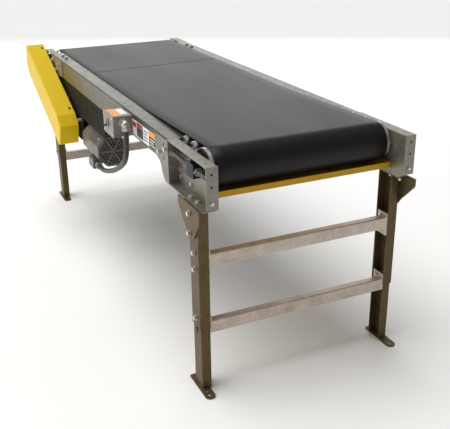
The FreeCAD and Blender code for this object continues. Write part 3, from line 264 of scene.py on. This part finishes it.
def printed(name, colour):
    """Coloured film on a label: faint mottling and grime at the rubbed spots."""
    g = Graph(name)
    mottle = g.noise(300.0, 4.0)
    tint = g.mix(mottle, tuple(0.9 * c for c in colour), tuple(min(1.0, 1.05 * c) for c in colour))
    grime = g.range(g.noise(120.0, 6.0, 0.7), 0.6, 0.75, 0.0, 0.4)
    tint = g.mix(grime, tint, (0.25, 0.22, 0.18))
    return g.finish(tint, g.range(mottle, 0.3, 0.7, 0.42, 0.52), 0.0, g.bump(mottle, 0.00003, 0.3))


def floor_paint():
    g = Graph("studio_floor")
    wide = g.noise(1.4, 3.0)
    tint = g.mix(wide, (0.86, 0.86, 0.85), (0.9, 0.9, 0.89))
    return g.finish(tint, 0.75, 0.0, g.bump(g.noise(60.0, 2.0), 0.0003, 0.1))


BED = galvanised(
    "galvanised_bed", (0.155, 0.152, 0.124), (0.098, 0.096, 0.078), (0.083, 0.076, 0.056),
    0.7, (0.24, 0.4), 0.2,
)
BRACKET = galvanised("galvanised_bracket", (0.31, 0.295, 0.24), (0.19, 0.178, 0.142), (0.14, 0.123, 0.092))
# LEG: colours darkened and warmed to brown to stand in for a dark, warm room reflected in the zinc: painted
# reflection; metallic and gloss lowered with it.
LEG = galvanised(
    "galvanised_leg_painted_reflection", (0.150, 0.108, 0.052), (0.088, 0.063, 0.030), (0.062, 0.043, 0.019),
    0.45, (0.3, 0.48), 0.1,
)
BRACE = galvanised("galvanised_brace", (0.66, 0.57, 0.50), (0.42, 0.35, 0.30), (0.28, 0.23, 0.18))
YELLOW = powder_coat("safety_yellow", (0.70, 0.47, 0.004), (0.78, 0.54, 0.006), (0.26, 0.20, 0.08))
# PAN_YELLOW_SHADED: the safety yellow made darker and more orange for the pan under the bed, where shade
# falls: painted shade.
PAN_YELLOW_SHADED = powder_coat("pan_yellow_painted_shade", (0.50, 0.27, 0.012), (0.58, 0.34, 0.018), (0.20, 0.14, 0.06))
BELT = belt_cover()
BELT_EDGE = belt_edge()
ROLLER = turned_steel("roller_tube", (0.80, 0.80, 0.80), 0.14)
STEEL = turned_steel("ground_shaft", (0.66, 0.65, 0.63), 0.24)
STEEL_X = turned_steel("turned_along_x", (0.62, 0.61, 0.60), 0.26, "X")
ZINC = plated("zinc_plate", (0.74, 0.73, 0.69))
BLACK_OXIDE = plated("black_oxide", (0.10, 0.10, 0.115), 0.34)
ROD_BLACK = plated("threaded_rod_steel", (0.16, 0.14, 0.145), 0.3)
REDUCER = enamel("reducer_enamel", (0.008, 0.009, 0.016), 0.36, 420.0, 0.0003, (0.12, 0.12, 0.13), 0.06, 0.25)
# MOUNT_PAINT_AND_SHADE: near-black, rough, with little gloss. The plate is dark-painted, and its blackness
# also stands in for the shade under the bed between guard and motor: partly painted shade.
MOUNT_PAINT_AND_SHADE = enamel("mount_enamel_and_painted_shade", (0.010, 0.0090, 0.007), 0.58, 600.0, 0.0002, (0.08, 0.075, 0.07), 0.05, 0.12)
BLOCK = enamel("block_enamel", (0.008, 0.010, 0.026), 0.34, 500.0, 0.0003, (0.10, 0.10, 0.12), 0.05, 0.2)
MOTOR = enamel("motor_enamel", (0.115, 0.104, 0.09), 0.26, 1400.0, 0.0001, (0.42, 0.41, 0.38))
BOX = enamel("box_enamel", (0.27, 0.245, 0.205), 0.38, 1500.0, 0.00008, (0.66, 0.64, 0.60))
FITTING = plated("die_cast_zinc", (0.60, 0.57, 0.53), 0.32)
BLACK_PLASTIC = moulded("black_plastic", (0.025, 0.025, 0.027))
JACKET = jacket()
BRONZE = bronze()
LABEL_WHITE = printed("label_white", (0.86, 0.84, 0.80))
LABEL_RED = printed("label_red", (0.42, 0.04, 0.05))
LABEL_BLACK = printed("label_black", (0.035, 0.03, 0.03))
LABEL_ORANGE = printed("label_orange", (0.85, 0.34, 0.06))
FLOOR = floor_paint()

BY_PREFIX = {
    "slider_bed": BED,
    "bed_ties": BED,
    "drive_mount": MOUNT_PAINT_AND_SHADE,
    "roller_hangers": BED,
    "bracket_bolts": ZINC,
    "bracket_": BRACKET,
    "leg_": LEG,
    "foot_": LEG,
    "brace_": BRACE,
    "stand_bolts": ZINC,
    "tail_pulley": STEEL,
    "drive_pulley": STEEL,
    "tail_shaft": STEEL,
    "drive_shaft": STEEL,
    "output_shaft": STEEL,
    "transition_roller": ROLLER,
    "snub_roller": ROLLER,
    "return_roller": ROLLER,
    "roller_axles": STEEL,
    "roller_chain": BLACK_OXIDE,
    "take_up_block": BLOCK,
    "take_up_nuts": ZINC,
    "drive_bearing": BLOCK,
    "return_guard_pan": PAN_YELLOW_SHADED,
    "guard_shell": YELLOW,
    "guard_back_plate": YELLOW,
    "guard_screws": ZINC,
    "driven_sprocket": BLACK_OXIDE,
    "drive_sprocket": BLACK_OXIDE,
    "reducer_housing": REDUCER,
    "worm_wheel": BRONZE,
    "motor_frame": MOTOR,
    "motor_fan_cover": MOTOR,
    "motor_rotor": STEEL_X,
    "motor_fan": BLACK_PLASTIC,
    "switch_box": BOX,
    "switch_toggle": BLACK_PLASTIC,
    "conduit_fittings": FITTING,
}


def paint_frame():
    """Gives every CAD node its finish, by the longest matching name."""
    for name, node in frame["nodes"].items():
        found = [p for p in BY_PREFIX if name.startswith(p)]
        if not found:
            continue
        node.data.materials.clear()
        node.data.materials.append(BY_PREFIX[max(found, key=len)])


# ---- mesh helpers -------------------------------------------------------------------------
def piece(name, vertices, faces, material, body, smooth=True):
    """A mesh piece in the row frame that rides on a body."""
    mesh = bpy.data.meshes.new(name)
    mesh.from_pydata([tuple(v) for v in vertices], [], faces)
    mesh.materials.append(material)
    mesh.polygons.foreach_set("use_smooth", [smooth] * len(mesh.polygons))
    mesh.validate()
    made = bpy.data.objects.new(name, mesh)
    bpy.context.collection.objects.link(made)
    if body:
        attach(made, body)
    return made


def loft(rings, closed=False):
    """Vertices and faces of equal rings joined one to the next, with caps unless closed."""
    count = len(rings[0])
    vertices = [p for ring in rings for p in ring]
    faces = []
    steps = len(rings) if closed else len(rings) - 1
    for i in range(steps):
        a = i * count
        b = ((i + 1) % len(rings)) * count
        for k in range(count):
            following = (k + 1) % count
            faces.append((a + k, a + following, b + following, b + k))
    if not closed:
        faces.append(tuple(range(count))[::-1])
        faces.append(tuple(range(len(vertices) - count, len(vertices))))
    return vertices, faces


def plate(name, corners, thick, material, body, bevel=0.0006):
    """A thin plate through its corner points, given going round, raised along their normal."""
    points = [Vector(c) for c in corners]
    normal = (points[1] - points[0]).cross(points[2] - points[0]).normalized()
    low = [tuple(p) for p in points]
    high = [tuple(p + normal * thick) for p in points]
    made = piece(name, *loft([low, high]), material, body, smooth=False)
    edge = made.modifiers.new("edge", "BEVEL")
    edge.width = min(bevel, thick * 0.45)
    edge.segments = 2
    return made


def turned(name, profile, base, way, material, body, sides=32):
    """A piece turned about an axis: profile is (distance along it, radius) points."""
    along = Vector(way).normalized()
    side = along.orthogonal().normalized()
    other = along.cross(side)
    rings = []
    for distance, radius in profile:
        centre = Vector(base) + along * distance
        turn = [2 * math.pi * k / sides for k in range(sides)]
        rings.append([centre + side * (radius * math.cos(t)) + other * (radius * math.sin(t)) for t in turn])
    made = piece(name, *loft(rings), material, body)
    made.data.set_sharp_from_angle(angle=math.radians(35))
    return made


# ---- belt ---------------------------------------------------------------------------------
BELT_THICK = 0.0032
EDGE_ROUND = 0.0009
LIFT_X = 0.150
LIFT_RADIUS = 9.0
WRAP_ROWS = (36, 12, 28, 10)
RUN_ROWS = (40, 80, 6, 110)


def run_angle(one, two):
    """Direction of the run from one circle to the next; each is (x, z, signed radius)."""
    across = two[0] - one[0]
    rise = two[1] - one[1]
    return math.atan2(rise, across) - math.asin((two[2] - one[2]) / math.hypot(across, rise))


def wrap_radius(node, lift):
    """Radius of the belt's path round a drum at a height above the belt's inner face."""
    low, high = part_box(node)
    return (high.z - low.z) / 2 + 0.0003 + lift


def belt_circles(lift):
    """What the belt bends round, in order, as (x, z, signed radius); negative where it bends back."""
    tail = JOINTS["tail_pulley_spin"]["pos_m"]
    drive = JOINTS["drive_pulley_spin"]["pos_m"]
    snub = JOINTS["roller_snub_spin"]["pos_m"]
    bed_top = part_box("slider_bed")[1].z
    return [
        (tail[0], tail[2], wrap_radius("tail_pulley", lift)),
        (LIFT_X, bed_top + LIFT_RADIUS, lift - LIFT_RADIUS),
        (drive[0], drive[2], wrap_radius("drive_pulley", lift)),
        (snub[0], snub[2], lift - BELT_THICK - wrap_radius("snub_roller", 0.0)),
    ]


def belt_path(lift):
    """Points of the loop at a height above the belt's inner face, as (x, z)."""
    circles = belt_circles(lift)
    points = []
    for i, (x, z, radius) in enumerate(circles):
        ahead = circles[(i + 1) % len(circles)]
        coming = run_angle(circles[i - 1], circles[i])
        going = run_angle(circles[i], ahead)
        turn = (going - coming) % (2 * math.pi)
        if radius < 0:
            turn -= 2 * math.pi
        steps = WRAP_ROWS[i]
        for k in range(steps + 1):
            angle = coming + turn * k / steps
            points.append((x + radius * math.sin(angle), z - radius * math.cos(angle)))
        target = (ahead[0] + ahead[2] * math.sin(going), ahead[1] - ahead[2] * math.cos(going))
        start = points[-1]
        for k in range(1, RUN_ROWS[i]):
            share = k / RUN_ROWS[i]
            across = start[0] + (target[0] - start[0]) * share
            points.append((across, start[1] + (target[1] - start[1]) * share))
    return points


def belt():
    """The belt as one closed loop with rounded edges."""
    low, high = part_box("belt")
    half = (high.y - low.y) / 2
    thick = BELT_THICK
    round_off = EDGE_ROUND
    across = [-half + round_off]
    across += [half * k / 8 for k in range(-7, 8)]
    across += [half - round_off]
    section = [(-half, thick - round_off), (-half, round_off)]
    section += [(y, 0.0) for y in across]
    section += [(half, round_off), (half, thick - round_off)]
    section += [(y, thick) for y in reversed(across)]
    paths = {lift: belt_path(lift) for lift in sorted({lift for _, lift in section})}
    rings = []
    for k in range(len(paths[0.0])):
        rings.append([(paths[lift][k][0], y, paths[lift][k][1]) for y, lift in section])
    made = piece("belt_loop", *loft(rings, closed=True), BELT, None)
    made.data.materials.append(BELT_EDGE)
    for face in made.data.polygons:
        if abs(face.center.y) > half - round_off * 0.6:
            face.material_index = 1
    made.data.set_sharp_from_angle(angle=math.radians(50))
    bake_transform(made)
    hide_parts("belt")


def belt_splice():
    """The vulcanised joint: a shallow ridge running slightly askew across the top run."""
    low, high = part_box("belt")
    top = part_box("slider_bed")[1].z + BELT_THICK
    half = (high.y - low.y) / 2 - 0.0012
    start = Vector((-0.408, -half, top))
    end = Vector((-0.458, half, top))
    way = (end - start).normalized()
    side = Vector((-way.y, way.x, 0))
    rise = [(-0.0032, -0.0004), (-0.0022, 0.0004), (-0.0008, 0.0006)]
    profile = rise + [(-w, h) for w, h in reversed(rise)]
    rings = []
    for k in range(25):
        spot = start.lerp(end, k / 24)
        wander = 0.0006 * math.sin(k * 1.7)
        rings.append([spot + side * (w + wander) + Vector((0, 0, h)) for w, h in profile])
    made = piece("belt_splice", *loft(rings), BELT_EDGE, "frame")


# ---- take-up rods -------------------------------------------------------------------------
THREAD_PITCH = 0.002
THREAD_DEPTH = 0.0011
THREAD_SIDES = 20
ROWS_PER_PITCH = 4


def threaded_rod(name, low, high, body):
    """A screw thread cut along X between two corners of its box, with chamfered ends."""
    radius = (high.z - low.z) / 2
    centre = (low + high) / 2
    length = high.x - low.x
    total = int(length / THREAD_PITCH * ROWS_PER_PITCH)
    rings = []
    for i in range(total + 1):
        x = low.x + length * i / total
        ring = []
        for k in range(THREAD_SIDES):
            turn = 2 * math.pi * k / THREAD_SIDES
            phase = ((x - low.x) / THREAD_PITCH - k / THREAD_SIDES) % 1.0
            cut = THREAD_DEPTH * abs(2 * phase - 1)
            end = min(x - low.x, high.x - x)
            r = radius - cut - max(0.0, 0.0012 - end) * 0.8
            ring.append((x, centre.y + r * math.cos(turn), centre.z + r * math.sin(turn)))
        rings.append(ring)
    return piece(name, *loft(rings), ROD_BLACK, body)


def take_up_rods():
    low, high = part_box("take_up_rods")
    radius = (high.z - low.z) / 2
    left = threaded_rod("take_up_thread_left", low, Vector((high.x, low.y + 2 * radius, high.z)), "frame")
    threaded_rod("take_up_thread_right", Vector((low.x, high.y - 2 * radius, low.z)), high, "frame")
    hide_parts("take_up_rods")


# ---- labels and small hardware ------------------------------------------------------------
BAR_BOTTOM = 0.761
LID_FACE = -0.453
LID_SCREW_INSET = 0.011
PLUG_OFFSET = 0.0013
PLUG_DROPS = (0.024, 0.064)
FAN_SCREW_BACK = 0.045
MOTOR_FACET = math.radians(135)
MOTOR_FACET_REACH = 0.0717


def side_label(name, x, z, thick, material):
    """Rectangle of film on the left side of the bed, thick counted from the sheet."""
    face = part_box("slider_bed")[0].y
    corners = [(x[0], face, z[0]), (x[1], face, z[0]), (x[1], face, z[1]), (x[0], face, z[1])]
    made = plate(name, corners, thick, material, "frame", 0.0001)


def top_label(name, x, y, thick, material):
    """Rectangle of film on the top of the switch box."""
    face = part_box("switch_box")[1].z - 0.002
    corners = [(x[0], y[0], face), (x[1], y[0], face), (x[1], y[1], face), (x[0], y[1], face)]
    made = plate(name, corners, thick, material, "frame", 0.0001)


def labels():
    """Blank labels: fields of colour and plain bars."""
    side_label("label_sheet", (0.350, 0.533), (0.751, 0.811), 0.0004, LABEL_WHITE)
    side_label("label_red", (0.400, 0.470), (0.794, 0.809), 0.0007, LABEL_RED)
    side_label("label_dark", (0.400, 0.470), (0.755, 0.793), 0.0007, LABEL_BLACK)
    side_label("label_plate", (0.536, 0.606), (0.755, 0.791), 0.0005, LABEL_BLACK)
    side_label("label_head", (0.536, 0.606), (0.792, 0.813), 0.0005, LABEL_ORANGE)
    for k in range(4):
        z = BAR_BOTTOM + 0.0115 * k
        end = 0.524 - 0.006 * (k % 3)
        side_label("label_bar_white_%d" % k, (0.478, end), (z, z + 0.0045), 0.0007, LABEL_BLACK)
    for k in range(3):
        z = BAR_BOTTOM + 0.0100 * k
        end = 0.594 - 0.012 * (k % 2)
        side_label("label_bar_dark_%d" % k, (0.544, end), (z, z + 0.0035), 0.0008, LABEL_WHITE)
    side_label("label_wedge", (0.356, 0.392), (0.784, 0.803), 0.0007, LABEL_RED)
    top_label("box_label_orange", (0.228, 0.336), (-0.446, -0.413), 0.0004, LABEL_ORANGE)
    top_label("box_label_white", (0.236, 0.320), (-0.412, -0.386), 0.0004, LABEL_WHITE)


def screw_head(name, base, way, radius):
    """Zinc-plated pan head with a domed top, seated on a surface of the frame."""
    height = radius * 0.75
    dome = [(0.0, radius), (height * 0.35, radius), (height * 0.75, radius * 0.82), (height, radius * 0.45)]
    made = turned(name, dome, base, way, ZINC, "frame", 20)


def hole_plugs():
    """Black plugs in the spare holes of the tail brackets' end flanges."""
    profile = [(0.0, 0.0044), (0.0012, 0.0044), (0.0016, 0.0036), (0.0008, 0.0026), (0.0002, 0.0012)]
    for side in ("left", "right"):
        low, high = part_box("bracket_tail_" + side)
        across = (low.y + high.y) / 2 + (-PLUG_OFFSET if side == "left" else PLUG_OFFSET)
        for drop in PLUG_DROPS:
            spot = (high.x - 0.0017, across, high.z - drop)
            name = "hole_plug_%s_%d" % (side, round(drop * 1000))
            made = turned(name, profile, spot, (1, 0, 0), BLACK_PLASTIC, "frame", 20)


def box_screws():
    """Four screws in the corners of the switch box's lid."""
    low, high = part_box("switch_box")
    for i, x in enumerate((low.x + LID_SCREW_INSET, high.x - LID_SCREW_INSET)):
        for j, z in enumerate((low.z + LID_SCREW_INSET, high.z - LID_SCREW_INSET)):
            screw_head("box_screw_%d%d" % (i, j), (x, LID_FACE, z), (0, -1, 0), 0.0038)


def motor_details():
    """Screws around the fan cover's rim, and a blank rating plate with its two rivets."""
    low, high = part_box("motor_fan_cover")
    centre = (low + high) / 2
    radius = (high.z - low.z) / 2
    for k in range(4):
        turn = math.pi / 4 + k * math.pi / 2
        reach = radius * 0.985
        way = Vector((0, math.cos(turn), math.sin(turn)))
        spot = (high.x - FAN_SCREW_BACK, centre.y + reach * way.y, centre.z + reach * way.z)
        screw_head("fan_cover_screw_%d" % k, spot, way, 0.0045)
    low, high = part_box("motor_frame")
    across = Vector((0, math.cos(MOTOR_FACET), math.sin(MOTOR_FACET)))
    along = Vector((0, -math.sin(MOTOR_FACET), math.cos(MOTOR_FACET)))
    middle = Vector((low.x + 0.075, centre.y, centre.z)) + across * MOTOR_FACET_REACH
    half = 0.038
    tall = 0.021
    corners = [
        middle + Vector((-half, 0, 0)) - along * tall,
        middle + Vector((-half, 0, 0)) + along * tall,
        middle + Vector((half, 0, 0)) + along * tall,
        middle + Vector((half, 0, 0)) - along * tall,
    ]
    rating = plate("rating_plate", corners, 0.0008, MOTOR, "frame", 0.0002)
    for i, x in enumerate((-half + 0.004, half - 0.004)):
        screw_head("rating_rivet_%d" % i, middle + Vector((x, 0, 0)) + across * 0.0008, across, 0.002)


def grease_nipples():
    """Grease nipple on each take-up block and each drive bearing."""
    neck = [(0.0, 0.0042), (0.003, 0.0042), (0.0032, 0.0028)]
    profile = neck + [(0.006, 0.0026), (0.0075, 0.0032), (0.0095, 0.0018)]
    for side, out in (("left", -1), ("right", 1)):
        low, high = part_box("take_up_block_" + side)
        spot = ((low.x + high.x) / 2 - 0.014, (low.y + high.y) / 2 + out * 0.009, high.z - 0.0035)
        made = turned("block_nipple_" + side, profile, spot, (0, 0, 1), ZINC, "take_up", 18)
        low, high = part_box("drive_bearing_" + side)
        middle = (low + high) / 2
        face = low.y + 0.020 if out < 0 else high.y - 0.020
        spot = (middle.x, face, middle.z + 0.0265)
        made = turned("bearing_nipple_" + side, profile, spot, (0, 0, 1), ZINC, "frame", 18)


# ---- conduit ------------------------------------------------------------------------------
CONDUIT_DIAMETER = 0.021
CONDUIT = [
    (0.382, -0.416, 0.776),
    (0.382, -0.416, 0.728),
    (0.366, -0.415, 0.680),
    (0.330, -0.412, 0.640),
    (0.268, -0.407, 0.604),
    (0.172, -0.400, 0.559),
    (0.072, -0.393, 0.518),
    (-0.028, -0.388, 0.485),
    (-0.092, -0.384, 0.467),
    (-0.136, -0.382, 0.459),
    (-0.176, -0.382, 0.459),
]


def conduit():
    """The flexible conduit from the switch box down to the motor."""
    curve = bpy.data.curves.new("conduit_run", "CURVE")
    curve.dimensions = "3D"
    spline = curve.splines.new("NURBS")
    spline.points.add(len(CONDUIT) - 1)
    for point, place in zip(spline.points, CONDUIT):
        point.co = place + (1.0,)
    spline.order_u = 3
    spline.use_endpoint_u = True
    spline.resolution_u = 10
    curve.bevel_depth = CONDUIT_DIAMETER / 2
    curve.bevel_resolution = 6
    curve.use_fill_caps = True
    curve.materials.append(JACKET)
    made = bpy.data.objects.new("conduit_run", curve)
    bpy.context.collection.objects.link(made)
    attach(made, "frame")
    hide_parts("conduit")


# ---- light, floor and camera --------------------------------------------------------------
FLOOR_REACH = 14.0
WORLD_STRENGTH = 0.27
CEILING_STRENGTH = 2.55
CEILING_SPREAD = math.radians(55)
CAMERA_PLACE = (2.9363, -1.1762, 1.5426)
CAMERA_TURN = (65.63, 22.75, -0.77)
CAMERA_LENS = 59.27


def area(name, place, target, size, power):
    light = bpy.data.lights.new(name, "AREA")
    light.shape = "RECTANGLE"
    light.size, light.size_y = size
    light.energy = power
    made = bpy.data.objects.new(name, light)
    made.location = place
    made.rotation_euler = (Vector(target) - Vector(place)).to_track_quat("-Z", "Y").to_euler()
    bpy.context.collection.objects.link(made)


def studio():
    """Pale floor, soft light from above, and large soft panels behind and on the left."""
    floor = piece(
        "studio_floor",
        [(x * FLOOR_REACH, y * FLOOR_REACH, 0) for x, y in ((-1, -1), (1, -1), (1, 1), (-1, 1))],
        [(0, 1, 2, 3)],
        FLOOR,
        None,
    )
    world = bpy.data.worlds.new("studio")
    world.use_nodes = True
    sky = world.node_tree.nodes["Background"]
    sky.inputs["Color"].default_value = (1.0, 0.99, 0.97, 1.0)
    sky.inputs["Strength"].default_value = WORLD_STRENGTH
    bpy.context.scene.world = world
    bpy.context.scene.view_settings.view_transform = "Standard"
    sun = bpy.data.lights.new("ceiling", "SUN")
    sun.energy = CEILING_STRENGTH
    sun.angle = CEILING_SPREAD
    ceiling = bpy.data.objects.new("ceiling", sun)
    ceiling.rotation_euler = Vector((0.25, 0.28, -1.0)).to_track_quat("-Z", "Y").to_euler()
    bpy.context.collection.objects.link(ceiling)
    area("backdrop", (-5.0, 2.6, 2.4), (0, 0, 0.8), (6.0, 3.2), 78)
    area("left_fill", (-0.6, -4.0, 1.2), (0, 0, 0.6), (3.4, 1.4), 46)


def camera():
    """View from beyond the tail end, above the drive side."""
    yaw, pitch, roll = (math.radians(a) for a in CAMERA_TURN)
    level = math.cos(pitch)
    forward = Vector((-math.sin(yaw) * level, math.cos(yaw) * level, -math.sin(pitch)))
    right = Vector((math.cos(yaw), math.sin(yaw), 0))
    up = right.cross(forward)
    across = right * math.cos(roll) + up * math.sin(roll)
    upright = up * math.cos(roll) - right * math.sin(roll)
    lens = bpy.data.cameras.new("view")
    lens.lens = CAMERA_LENS
    lens.sensor_width = 36.0
    made = bpy.data.objects.new("view", lens)
    turn = Matrix((across, upright, -forward)).transposed()
    made.matrix_world = Matrix.Translation(CAMERA_PLACE) @ turn.to_4x4()
    bpy.context.collection.objects.link(made)
    bpy.context.scene.camera = made


paint_frame()
belt()
belt_splice()
take_up_rods()
labels()
hole_plugs()
box_screws()
motor_details()
grease_nipples()
conduit()
studio()
camera()

bpy.context.view_layer.update()
